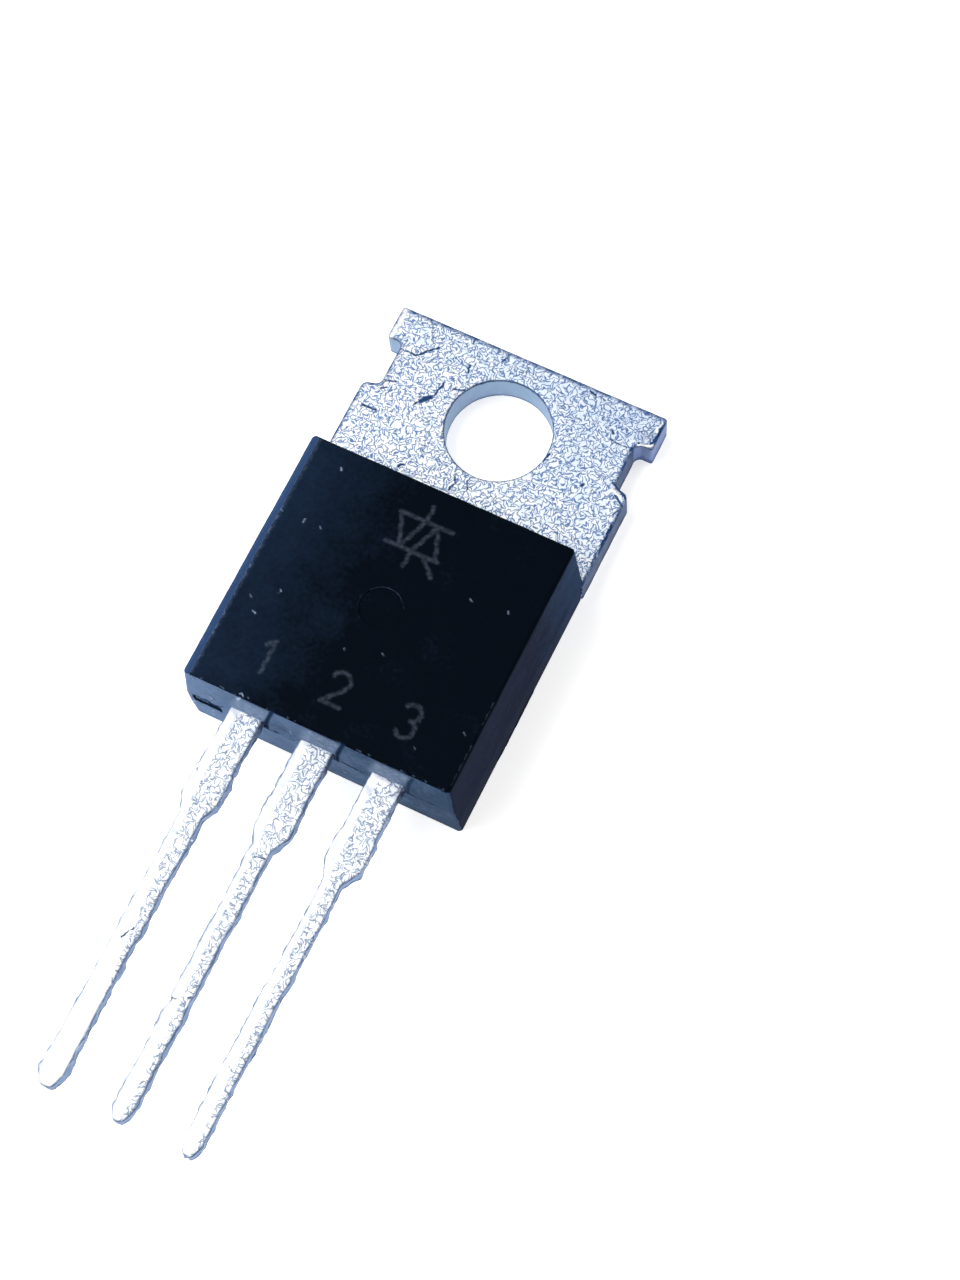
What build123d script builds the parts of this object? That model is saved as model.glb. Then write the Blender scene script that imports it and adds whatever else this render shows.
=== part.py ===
from build123d import *
import math
import os

os.makedirs("parts", exist_ok=True)

# A triac in a flat-backed power package: a copper tab with a screw hole, a moulded
# epoxy body and three tin-plated leads. Millimetres.
# The origin is the centre of the screw hole on the back plane. +X points right when the
# front is looked at, +Y towards the tab's top edge, +Z out of the front face.

# Tab: distances down the Y axis are measured from the hole's centre.
tab_width = 10.0
tab_thickness = 1.28
tab_top = 2.8  # hole centre to the top edge
tab_end = 3.9  # hole centre to where the full width stops, just under the plastic
tab_corner = 0.1
tab_roll = 0.08  # front edge rounded by the blanking die
hole_diameter = 3.68
ear_height = 1.25  # top edge to the side notch
notch_height = 1.7
notch_depth = 0.58
notch_fall = 0.15  # drop of the notch's lower shoulder towards the outside
notch_radius = 0.25

# Chip pad: the part of the tab that is buried in the body.
pad_width = 8.4  # at the back, where it shows
pad_length = 5.6  # from the end of the full width
lock_step = 0.22  # how far the front of the pad overhangs its back, to hold the plastic
lock_depth = 0.45  # thickness of the narrower back part
groove_width = 0.4  # moisture groove across the front of the pad
groove_depth = 0.2
groove_inset = 0.4  # plastic's top edge to the groove's nearer side

# Leads
lead_pitch = 2.54
lead_thickness = 0.5
lead_back = 2.35  # back plane to the back of the leads
lead_wide = 1.21
lead_collar = 1.32  # width left where the tie bar was cut away
lead_narrow = 0.75
lead_tip = 0.5
lead_length = 13.4  # body to tip
wide_length = 2.0  # body to the collar
collar_length = 1.1
collar_slope = 0.1  # length of the step from the wide part to the collar
taper_length = 0.6
tip_length = 0.5

# Joggle that lifts the centre lead from the pad to the plane of the other two
joggle_width = 2.0
joggle_flat = 0.5  # pad to the start of the rise
joggle_run = 1.1  # length of the rise along Y
joggle_radius = 0.45  # to the middle of the metal's thickness
joggle_neck = 0.4  # length of the wide part beyond the rise

# Bonding posts: the inner ends of the outer leads
post_width = 2.5
post_length = 1.7
post_shift = 0.4  # how far each post's middle lies outside its lead's middle
post_corner = 0.3
post_depth = 0.9  # body's lower end to the post

# Chip and the solder under it
chip_size = 3.8
chip_thickness = 0.27
chip_offset = 6.75  # hole centre to the chip's centre
moat_width = 0.3  # etched edge of the chip
moat_depth = 0.06
solder_thickness = 0.06
solder_margin = 0.1
solder_corner = 0.3

# Bond wires
t1_wire_diameter = 0.5
gate_wire_diameter = 0.25
wire_rise = 0.45  # corner of a wire's loop above the bonding posts, before rounding
loop_peak = 0.5  # place of that corner, as a share of the wire's reach
loop_radius = 0.7
wire_foot = 0.9  # length of each welded foot
foot_spread = 1.3  # width of a foot in wire diameters
foot_squash = 0.6  # height of a foot in wire diameters
foot_gap = 0.02  # wire's underside above the foot's base
t1_bond_inset = 1.7  # chip's left edge to the middle of the wire's foot
gate_bond_inset = 0.85  # chip's right and lower edges to the middle of the wire's foot

# Moulded body
body_thickness = 4.22
body_width = 9.92  # at the side parting line, level with the front of the tab
side_draft = 0.19  # how far each side leans in from there to the front
side_draft_back = 0.03  # and to the back
body_top = 3.67  # hole centre to the top end, at the tab's front
top_draft = 0.13
body_bottom = 13.03  # hole centre to the lower parting line, level with the leads' back
bottom_draft = 0.11
bottom_draft_back = 0.15
body_corner = 0.15
body_edge = 0.14
pin_offset = 8.3  # hole centre to the ejector pin's mark
pin_diameter = 1.45
pin_depth = 0.06
gate_mark_width = 1.05  # broken-off mould gate on the lower end
gate_mark_height = 0.7
gate_mark_depth = 0.12
gate_mark_inset = 0.3  # body's left side to the mark

# Places that follow from the sizes above
lead_front = lead_back + lead_thickness
chip_back = tab_thickness + solder_thickness
chip_front = chip_back + chip_thickness
pad_bottom = -tab_end - pad_length
exit_y = -body_bottom
lead_tip_y = exit_y - lead_length
post_y = -body_bottom + post_depth + post_length / 2


def lead_outline(root_y):
    """Outline of one lead on x = 0, from root_y inside the body down to its tip."""
    collar_y = exit_y - wide_length
    taper_y = collar_y - collar_length
    with BuildSketch(mode=Mode.PRIVATE) as outline:
        with BuildLine():
            half = Polyline(
                (0, root_y),
                (lead_wide / 2, root_y),
                (lead_wide / 2, collar_y),
                (lead_collar / 2, collar_y - collar_slope),
                (lead_collar / 2, taper_y),
                (lead_narrow / 2, taper_y - taper_length),
                (lead_narrow / 2, lead_tip_y + tip_length),
                (lead_tip / 2, lead_tip_y),
                (0, lead_tip_y),
            )
            mirror(half, about=Plane.YZ)
        make_face()
    return outline.sketch


def bond_wire(chip_end, post_end, diameter):
    """Round wire looped from the chip up to a post, with a squashed foot at each end."""
    span = post_end - chip_end
    reach = math.hypot(span.X, span.Y)
    heading = Vector(span.X, span.Y, 0) / reach
    upright = Plane(chip_end, x_dir=heading, z_dir=heading.cross(Vector(0, 0, 1)))
    lift = diameter / 2 + foot_gap
    with BuildPart(mode=Mode.PRIVATE) as wire:
        with BuildLine(upright) as loop:
            FilletPolyline(
                (-wire_foot / 2, lift),
                (wire_foot / 2, lift),
                (reach * loop_peak, span.Z + wire_rise + lift),
                (reach - wire_foot / 2, span.Z + lift),
                (reach + wire_foot / 2, span.Z + lift),
                radius=loop_radius,
            )
        with BuildSketch(Plane(loop.line @ 0, z_dir=loop.line % 0)):
            Circle(diameter / 2)
        sweep()
        foot_width = foot_spread * diameter
        for end in (chip_end, post_end):
            with BuildSketch(Plane(end, x_dir=heading, z_dir=(0, 0, 1))):
                RectangleRounded(wire_foot + foot_width / 2, foot_width, diameter / 4)
            extrude(amount=foot_squash * diameter)
    return wire.part


# Centre lead: the strip's thin part, bent up from the pad's front to the lead plane.
pad_level = tab_thickness - lead_thickness / 2
lead_level = lead_back + lead_thickness / 2
rise_y = pad_bottom - joggle_flat
with BuildPart() as centre_lead:
    with BuildLine(Plane.YZ) as joggle:
        FilletPolyline(
            (pad_bottom, pad_level),
            (rise_y, pad_level),
            (rise_y - joggle_run, lead_level),
            (lead_tip_y, lead_level),
            radius=joggle_radius,
        )
    with BuildSketch(Plane(joggle.line @ 0, x_dir=(1, 0, 0), z_dir=joggle.line % 0)):
        Rectangle(max(joggle_width, lead_collar), lead_thickness)
    sweep()
    with BuildSketch():
        add(lead_outline(pad_bottom))
        joggle_length = joggle_flat + joggle_run + joggle_neck
        with Locations((0, pad_bottom - joggle_length / 2)):
            Rectangle(joggle_width, joggle_length)
    extrude(amount=body_thickness, mode=Mode.INTERSECT)

# Tab, chip pad and centre lead: one piece of dual-gauge copper strip.
notch_wall = tab_width / 2 - notch_depth
ear_y = tab_top - ear_height
notch_y = ear_y - notch_height
with BuildPart() as heatsink_tab:
    with BuildSketch():
        with BuildLine():
            edge = FilletPolyline(
                (0, tab_top),
                (tab_width / 2, tab_top),
                (tab_width / 2, ear_y),
                (notch_wall, ear_y),
                (notch_wall, notch_y),
                (tab_width / 2, notch_y - notch_fall),
                (tab_width / 2, -tab_end),
                (0, -tab_end),
                radius=[tab_corner, 0, notch_radius, notch_radius, notch_radius, 0],
            )
            mirror(edge, about=Plane.YZ)
        make_face()
    extrude(amount=tab_thickness)
    fillet(heatsink_tab.faces().sort_by(Axis.Z)[-1].edges(), radius=tab_roll)
    Hole(hole_diameter / 2)
    # Buried pad: its back is narrower, so the plastic grips under the overhang.
    with BuildSketch():
        with Locations((0, -tab_end - pad_length / 2)):
            Rectangle(pad_width, pad_length)
    extrude(amount=tab_thickness)
    with BuildSketch(Plane.XY.offset(lock_depth)):
        with Locations((0, -tab_end - (pad_length + lock_step) / 2)):
            Rectangle(pad_width + 2 * lock_step, pad_length + lock_step)
    extrude(amount=tab_thickness - lock_depth)
    # Moisture groove across the pad, just inside the plastic.
    groove_y = -body_top - groove_inset - groove_width / 2
    with BuildSketch(Plane.YZ):
        Polygon(
            (groove_y - groove_width / 2, tab_thickness),
            (groove_y, tab_thickness - groove_depth),
            (groove_y + groove_width / 2, tab_thickness),
            align=None,
        )
    extrude(amount=tab_width / 2, both=True, mode=Mode.SUBTRACT)
    add(centre_lead.part)
heatsink_tab.part.label = "heatsink_tab"
export_step(heatsink_tab.part, "parts/heatsink_tab.step")

# Left lead: main terminal 1, with its bonding post inside the body.
post_x = lead_pitch + post_shift
with BuildPart() as t1_lead:
    with BuildSketch(Plane.XY.offset(lead_back)):
        with Locations((-lead_pitch, 0)):
            add(lead_outline(post_y))
        with Locations((-post_x, post_y)):
            RectangleRounded(post_width, post_length, post_corner)
    extrude(amount=lead_thickness)
t1_lead.part.label = "t1_lead"
export_step(t1_lead.part, "parts/t1_lead.step")

# Right lead: the gate.
with BuildPart() as gate_lead:
    with BuildSketch(Plane.XY.offset(lead_back)):
        with Locations((lead_pitch, 0)):
            add(lead_outline(post_y))
        with Locations((post_x, post_y)):
            RectangleRounded(post_width, post_length, post_corner)
    extrude(amount=lead_thickness)
gate_lead.part.label = "gate_lead"
export_step(gate_lead.part, "parts/gate_lead.step")

# Solder film between the pad and the chip.
with BuildPart() as die_solder:
    with BuildSketch(Plane.XY.offset(tab_thickness)):
        with Locations((0, -chip_offset)):
            solder_size = chip_size + 2 * solder_margin
            RectangleRounded(solder_size, solder_size, solder_corner)
    extrude(amount=solder_thickness)
die_solder.part.label = "die_solder"
export_step(die_solder.part, "parts/die_solder.step")

# Silicon chip: a square die whose upper edge is etched back into a sloping moat.
with BuildPart() as triac_chip:
    with BuildSketch(Plane.XY.offset(chip_back)):
        with Locations((0, -chip_offset)):
            Rectangle(chip_size, chip_size)
    extrude(amount=chip_thickness - moat_depth)
    with BuildSketch(Plane.XY.offset(chip_front - moat_depth)):
        with Locations((0, -chip_offset)):
            Rectangle(chip_size - 2 * moat_width, chip_size - 2 * moat_width)
    extrude(amount=moat_depth)
triac_chip.part.label = "triac_chip"
export_step(triac_chip.part, "parts/triac_chip.step")

# Thick aluminium wire: main terminal 1 of the chip to the left post.
t1_bond = Vector(t1_bond_inset - chip_size / 2, -chip_offset, chip_front)
with BuildPart() as t1_bond_wire:
    add(bond_wire(t1_bond, Vector(-post_x, post_y, lead_front), t1_wire_diameter))
t1_bond_wire.part.label = "t1_bond_wire"
export_step(t1_bond_wire.part, "parts/t1_bond_wire.step")

# Thin aluminium wire: the chip's gate corner to the right post.
gate_bond = Vector(
    chip_size / 2 - gate_bond_inset,
    gate_bond_inset - chip_size / 2 - chip_offset,
    chip_front,
)
with BuildPart() as gate_bond_wire:
    add(bond_wire(gate_bond, Vector(post_x, post_y, lead_front), gate_wire_diameter))
gate_bond_wire.part.label = "gate_bond_wire"
export_step(gate_bond_wire.part, "parts/gate_bond_wire.step")

# Moulded body: drafted both ways from its parting lines. The sides part level with the
# tab's front, the lower end level with the leads' back.
tab_share = 1 - tab_thickness / lead_back
lead_share = (lead_back - tab_thickness) / (body_thickness - tab_thickness)
body_levels = [  # height, lean of each side, of the top end and of the lower end
    (0, side_draft_back, 0, bottom_draft_back),
    (tab_thickness, 0, 0, bottom_draft_back * tab_share),
    (lead_back, side_draft * lead_share, top_draft * lead_share, 0),
    (body_thickness, side_draft, top_draft, bottom_draft),
]
with BuildPart() as moulded_body:
    for height, side_lean, top_lean, bottom_lean in body_levels:
        top = -body_top - top_lean
        bottom = -body_bottom + bottom_lean
        with BuildSketch(Plane.XY.offset(height)):
            with Locations((0, (top + bottom) / 2)):
                RectangleRounded(body_width - 2 * side_lean, top - bottom, body_corner)
    loft(ruled=True)
    front_face = moulded_body.faces().sort_by(Axis.Z)[-1]
    fillet(front_face.edges(), radius=body_edge)
    # Round mark of the ejector pin in the front face.
    with BuildSketch(Plane.XY.offset(body_thickness)):
        with Locations((0, -pin_offset)):
            Circle(pin_diameter / 2)
    extrude(amount=-pin_depth, mode=Mode.SUBTRACT)
    # Torn place where the mould's gate was broken off, under the lower parting line.
    gate_mark_x = gate_mark_inset + gate_mark_width / 2 - body_width / 2
    with Locations((gate_mark_x, exit_y, lead_back - gate_mark_height / 2)):
        Box(gate_mark_width, 2 * gate_mark_depth, gate_mark_height, mode=Mode.SUBTRACT)
    # Room for everything that is moulded in.
    for piece in (heatsink_tab, t1_lead, gate_lead, die_solder, triac_chip):
        add(piece.part, mode=Mode.SUBTRACT)
    for wire in (t1_bond_wire, gate_bond_wire):
        add(wire.part, mode=Mode.SUBTRACT)
moulded_body.part.label = "moulded_body"
export_step(moulded_body.part, "parts/moulded_body.step")
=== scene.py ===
"""A triac in a flat-backed power package: plated copper tab, black epoxy body and three leads.

The sections follow the object as it is put together. Sizes are in millimetres unless they say
otherwise, and a finished piece is scaled to metres.
"""

import math
import random

import bpy
import numpy as np
from mathutils import Matrix, Vector
from mathutils.kdtree import KDTree


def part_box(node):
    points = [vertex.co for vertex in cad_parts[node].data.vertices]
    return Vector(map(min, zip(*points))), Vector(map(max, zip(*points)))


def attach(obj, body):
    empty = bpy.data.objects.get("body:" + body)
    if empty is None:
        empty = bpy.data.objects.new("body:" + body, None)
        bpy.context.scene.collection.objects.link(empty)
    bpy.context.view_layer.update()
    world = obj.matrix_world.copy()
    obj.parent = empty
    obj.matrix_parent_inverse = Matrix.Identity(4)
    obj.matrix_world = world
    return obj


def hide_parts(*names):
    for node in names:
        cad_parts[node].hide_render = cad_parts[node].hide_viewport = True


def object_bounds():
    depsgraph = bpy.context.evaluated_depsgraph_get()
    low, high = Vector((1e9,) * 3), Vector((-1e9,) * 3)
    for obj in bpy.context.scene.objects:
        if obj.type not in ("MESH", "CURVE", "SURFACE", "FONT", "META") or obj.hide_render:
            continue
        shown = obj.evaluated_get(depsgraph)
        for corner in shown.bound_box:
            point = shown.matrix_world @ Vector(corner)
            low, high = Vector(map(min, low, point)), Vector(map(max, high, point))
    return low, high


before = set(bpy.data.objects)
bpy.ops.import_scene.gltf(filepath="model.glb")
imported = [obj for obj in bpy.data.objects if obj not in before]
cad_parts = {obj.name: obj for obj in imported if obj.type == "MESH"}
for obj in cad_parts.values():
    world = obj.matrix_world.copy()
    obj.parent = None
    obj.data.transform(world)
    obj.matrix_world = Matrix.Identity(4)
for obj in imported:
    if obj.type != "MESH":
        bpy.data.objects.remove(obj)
cad_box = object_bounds()

# ---------------------------------------------------------------------------------------------
# Heat-sink tab with the centre lead: one stamped piece of copper strip, plated with matte tin.
# The punch rolled its front edge and sheared its sides. Handling left cracks and gouges in the
# soft plating. The chip pad that the plastic hides belongs to the same strip.

MM = 0.001
merge_distance = 0.001
flat_angle = math.radians(1)
tab_step = 0.08  # spacing of the mesh that carries the dents
lead_step = 0.07
punch_round = 0.075  # rounding left by the punch on edges that were cut square
cover = 0.35  # how far the fine mesh reaches into the plastic
back_skin = 0.02  # height above the back plane up to which a piece keeps its flat back

tab_low, tab_high = (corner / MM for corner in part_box("heatsink_tab"))
body_low, body_high = (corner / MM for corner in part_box("moulded_body"))
outer_low, outer_high = (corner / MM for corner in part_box("gate_lead"))
tab_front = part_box("die_solder")[0].z / MM  # the solder lies on it
lead_back = outer_low.z
lead_front = outer_high.z
lead_exit = body_low.y
body_top = body_high.y
wide_half = 0.605  # half widths of a lead: at the body, at the cut tie bar, and below it
collar_half = 0.66
narrow_half = 0.375
collar_low = lead_exit - 3.1
narrow_top = collar_low - 0.6


def start_copy(node_name, piece_name):
    """A copy of a CAD node's mesh, in millimetres, with its triangles joined into whole faces."""
    piece = bpy.data.objects.new(piece_name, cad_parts[node_name].data.copy())
    bpy.context.scene.collection.objects.link(piece)
    bpy.ops.object.select_all(action="DESELECT")
    bpy.context.view_layer.objects.active = piece
    piece.select_set(True)
    piece.scale = (1 / MM, 1 / MM, 1 / MM)
    bpy.ops.object.transform_apply(location=False, rotation=False, scale=True)
    bpy.ops.mesh.customdata_custom_splitnormals_clear()
    piece.data.materials.clear()
    bpy.ops.object.mode_set(mode="EDIT")
    bpy.ops.mesh.select_all(action="SELECT")
    bpy.ops.mesh.remove_doubles(threshold=merge_distance)
    bpy.ops.mesh.dissolve_limited(angle_limit=flat_angle)
    bpy.ops.object.mode_set(mode="OBJECT")
    return piece


def read(items, name):
    """One vector for each vertex or face."""
    values = np.zeros(len(items) * 3)
    items.foreach_get(name, values)
    return values.reshape(-1, 3)


def pick_faces(piece, wanted):
    """Selects the visible faces whose centres pass the test, and stays in edit mode."""
    bpy.ops.object.mode_set(mode="EDIT")
    bpy.ops.mesh.select_mode(type="FACE")
    bpy.ops.mesh.select_all(action="DESELECT")
    bpy.ops.object.mode_set(mode="OBJECT")
    faces = piece.data.polygons
    hidden = np.zeros(len(faces), bool)
    faces.foreach_get("hide", hidden)
    faces.foreach_set("select", wanted(read(faces, "center")) & ~hidden)
    bpy.ops.object.mode_set(mode="EDIT")


def hide_faces(piece, wanted):
    """Keeps those faces out of the next steps in edit mode."""
    pick_faces(piece, wanted)
    bpy.ops.mesh.hide(unselected=False)
    bpy.ops.object.mode_set(mode="OBJECT")


def round_edges(width):
    """Bevels the active piece's visible sharp edges."""
    bpy.ops.object.mode_set(mode="EDIT")
    bpy.ops.mesh.select_mode(type="EDGE")
    bpy.ops.mesh.select_all(action="DESELECT")
    bpy.ops.mesh.edges_select_sharp(sharpness=math.radians(40))
    bpy.ops.mesh.bevel(offset=width, segments=2, affect="EDGES", clamp_overlap=False)
    bpy.ops.object.mode_set(mode="OBJECT")


def cut_grid(low, high, step):
    """Cuts the active piece's visible faces along evenly spaced planes across each axis, then
    shows all its faces."""
    bpy.ops.object.mode_set(mode="EDIT")
    for axis in (2, 1, 0):
        normal = Vector((0, 0, 0))
        normal[axis] = 1
        length = high[axis] - low[axis]
        count = round(length / step)
        for i in range(count):
            place = normal * (low[axis] + length * (i + 0.5) / count)
            bpy.ops.mesh.select_all(action="SELECT")
            bpy.ops.mesh.bisect(plane_co=place, plane_no=normal)
    bpy.ops.mesh.reveal(select=False)
    bpy.ops.object.mode_set(mode="OBJECT")


def lump(piece, size, height, shares):
    """Moves the surface in and out by a soft noise, each vertex by its share of the height."""
    group = piece.vertex_groups.new(name="lumps")
    for index in np.nonzero(shares)[0]:
        group.add([int(index)], shares[index], "REPLACE")
    texture = bpy.data.textures.new(piece.name + "_lumps", "CLOUDS")
    texture.noise_scale = size
    texture.noise_depth = 1
    modifier = piece.modifiers.new("lumps", "DISPLACE")
    modifier.texture = texture
    modifier.texture_coords = "LOCAL"
    modifier.strength = height
    modifier.mid_level = 0.5
    modifier.vertex_group = group.name
    bpy.context.view_layer.objects.active = piece
    bpy.ops.object.modifier_apply(modifier=modifier.name)
    piece.vertex_groups.clear()


def distance_to(points, path):
    """Distance of each point from a path of straight stretches."""
    nearest = np.full(len(points), 1e9)
    for start, end in zip(path[:-1], path[1:]):
        start = np.array(start, float)
        run = np.array(end, float) - start
        share = np.clip((points - start) @ run / max(run @ run, 1e-12), 0, 1)
        nearest = np.minimum(nearest, np.linalg.norm(points - start - share[:, None] * run, axis=1))
    return nearest


def score(piece, marks, step):
    """Presses marks into a surface. Each mark is a path, its half width, its depth (raised if
    negative) and its stain and painted light, which the material reads: most marks are real stains,
    some are painted shade, highlight and reflection. The mesh, so far cut at the given step, is
    first made finer under the marks that are too thin for it. Their outlines waver a little."""

    def too_coarse(points):
        found = np.zeros(len(points), bool)
        for path, width, depth, stain_and_light in marks:
            if width < 1.5 * step:
                found |= distance_to(points, path) < 2 * width + step / 2
        return found

    for _ in range(3):
        pick_faces(piece, too_coarse)
        bpy.ops.mesh.subdivide(number_cuts=1)
        bpy.ops.object.mode_set(mode="OBJECT")
        step /= 2
    points = read(piece.data.vertices, "co")
    normals = read(piece.data.vertices, "normal")
    stains_and_light = np.zeros(len(points))
    moves = np.zeros(len(points))
    turned = points[:, (1, 2, 0)]
    crooked = points + 0.02 * np.sin(turned / 0.06) + 0.01 * np.sin(turned / 0.023)
    for path, width, depth, stain_and_light in marks:
        share = np.exp(-((distance_to(crooked, path) / width) ** 4))
        moves += share * depth
        stains_and_light = np.where(np.abs(share * stain_and_light) > np.abs(stains_and_light), share * stain_and_light, stains_and_light)
    piece.data.vertices.foreach_set("co", (points - normals * moves[:, None]).ravel())
    piece.data.attributes.new("stain_and_light", "FLOAT", "POINT").data.foreach_set("value", stains_and_light)
    piece.data.update()


def finish_piece(piece, node_name, materials, choose):
    """Gives a piece its materials, scales it to metres and ties it to the frame."""
    for material in materials:
        piece.data.materials.append(material)
    faces = piece.data.polygons
    faces.foreach_set("material_index", choose(read(faces, "center"), read(faces, "normal")))
    bpy.ops.object.select_all(action="DESELECT")
    bpy.context.view_layer.objects.active = piece
    piece.select_set(True)
    piece.scale = (MM, MM, MM)
    bpy.ops.object.transform_apply(location=False, rotation=False, scale=True)
    bpy.ops.object.shade_smooth_by_angle(angle=math.radians(50))
    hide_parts(node_name)
    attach(piece, "root")


def buried(points):
    """True for what the plastic hides."""
    return (points[:, 1] > lead_exit + cover) & (points[:, 1] < body_top - cover)


def loose(points):
    """1 where metal is out of the plastic, 0 inside it and on the tab's flat back."""
    return (~buried(points) & (points[:, 2] > back_skin)).astype(float)


def lump_lead(piece, size, height):
    """Lumps the tin of a lead, most on its sides."""
    points = read(piece.data.vertices, "co")
    flat = np.abs(read(piece.data.vertices, "normal")[:, 2])
    lump(piece, size, height, loose(points) * (points[:, 1] < lead_exit) * (1 - 0.7 * flat))


def shape_lead(piece, middle, shifts, plain_end):
    """Moves a lead's edges to its own outline, where the tin built up or wore off: each shift is
    a y, the left edge's move and the right edge's. Also notes the left part of the front that gets
    a painted highlight, drawn white without seams: little of the width near the body, and the given
    share of it at the free end."""
    points = read(piece.data.vertices, "co")
    along = points[:, 1]
    on_lead = along < lead_exit + cover
    stations = np.array(sorted(shifts))
    left = np.interp(along, stations[:, 0], stations[:, 1])
    right = np.interp(along, stations[:, 0], stations[:, 2])
    half_widths = (narrow_half, collar_half, wide_half)
    half = np.interp(along, (narrow_top, collar_low, lead_exit), half_widths)
    share = np.clip((points[:, 0] - middle) / half / 2 + 0.5, 0, 1)
    points[:, 0] += on_lead * (left + (right - left) * share)
    piece.data.vertices.foreach_set("co", points.ravel())
    highlight_places = (tab_low.y + 1, narrow_top - 2, lead_exit)
    plain = np.interp(along, highlight_places, (plain_end, 0.15, 0.08))
    fade = 0.25  # share of the width over which the painted highlight passes into crystals
    seamless_highlight = on_lead * (1 - np.clip((share - plain) / fade, 0, 1))
    piece.data.attributes.new("seamless_highlight", "FLOAT", "POINT").data.foreach_set("value", seamless_highlight)
    piece.data.update()


def note_edge_shade(piece, reach):
    """Notes the metal near a rounded front edge, and the burr at the back: both get painted shade.
    The painted shade is narrower round the hole and wider along the tab's top edge."""
    points = read(piece.data.vertices, "co")
    nearby = 0.4  # how far from the hole or the top edge the reach changes
    burr = 0.17  # height of the burr
    round_hole = np.hypot(points[:, 0], points[:, 1]) < hole_radius + nearby
    reach = np.where(round_hole, reach / 2, reach)
    reach = np.where(points[:, 1] > tab_high.y - nearby, reach * 2, reach)
    up = read(piece.data.vertices, "normal")[:, 2]
    rounded = np.nonzero((up > 0.3) & (up < 0.9))[0]
    tree = KDTree(len(rounded))
    for index in rounded:
        tree.insert(points[index], index)
    tree.balance()
    edge_shade = 1 - np.array([tree.find(point)[2] for point in points]) / reach
    edge_shade[(points[:, 2] < points[:, 2].min() + burr) & (up > -0.9)] = 1
    piece.data.attributes.new("edge_shade", "FLOAT", "POINT").data.foreach_set("value", np.clip(edge_shade, 0, 1))
    piece.data.update()


# the tab and its lead get their meshes one after the other, and the tab's back stays coarse
fine_end = lead_exit + cover
plated_tab = start_copy("heatsink_tab", "plated_tab")
hole_radius = np.hypot(*read(plated_tab.data.vertices, "co").T[:2]).min()
hide_faces(plated_tab, buried)
round_edges(punch_round)
hide_faces(plated_tab, lambda points: (points[:, 1] < fine_end) | (points[:, 2] < back_skin / 2))
cut_grid((tab_low.x, body_top - cover, 0), (tab_high.x, tab_high.y, tab_front), tab_step)
hide_faces(plated_tab, lambda points: points[:, 1] > fine_end)
cut_grid((-collar_half, tab_low.y, lead_back), (collar_half, fine_end, lead_front), lead_step)
note_edge_shade(plated_tab, reach=0.08)
shares = loose(read(plated_tab.data.vertices, "co"))
lump(plated_tab, size=0.5, height=0.02, shares=shares)
lump_lead(plated_tab, size=0.35, height=0.16)
lump(plated_tab, size=0.15, height=0.008, shares=shares)
shape_lead(plated_tab, 0, [
    (lead_exit, -0.03, -0.03), (-14.0, -0.055, -0.045), (-15.1, -0.02, -0.06), (-16.1, -0.02, -0.06),
    (-16.95, -0.05, -0.09), (-17.05, -0.13, -0.09), (-17.5, -0.06, -0.10), (-19.0, -0.04, -0.07),
    (-20.0, -0.07, -0.12), (-21.0, -0.04, -0.09), (-22.15, -0.08, -0.11), (-22.3, 0.03, -0.10),
    (-22.6, -0.06, -0.06), (-24.0, -0.03, -0.10), (-25.2, -0.07, -0.07),
    (tab_low.y + 0.35, -0.05, -0.09), (tab_low.y + 0.12, 0.0, -0.14), (tab_low.y, 0.10, -0.24),
], plain_end=0.45)


def on_tab(width, depth, stain_and_light, *path):
    """A mark on the tab's front face."""
    return [(x, y, tab_front) for x, y in path], width, depth, stain_and_light


def on_lead(width, depth, stain_and_light, *path):
    """A mark on a lead's front face."""
    return [(x, y, lead_front) for x, y in path], width, depth, stain_and_light


def shade_beside_lead(middle):
    """Painted shade and dark reflection on a lead's right side, where it leaves the plastic."""
    place = middle + wide_half
    path = [(place, lead_exit + 0.1, lead_front - 0.25), (place, lead_exit - 0.4, lead_front - 0.3)]
    return path, 0.3, 0, 0.6


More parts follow.
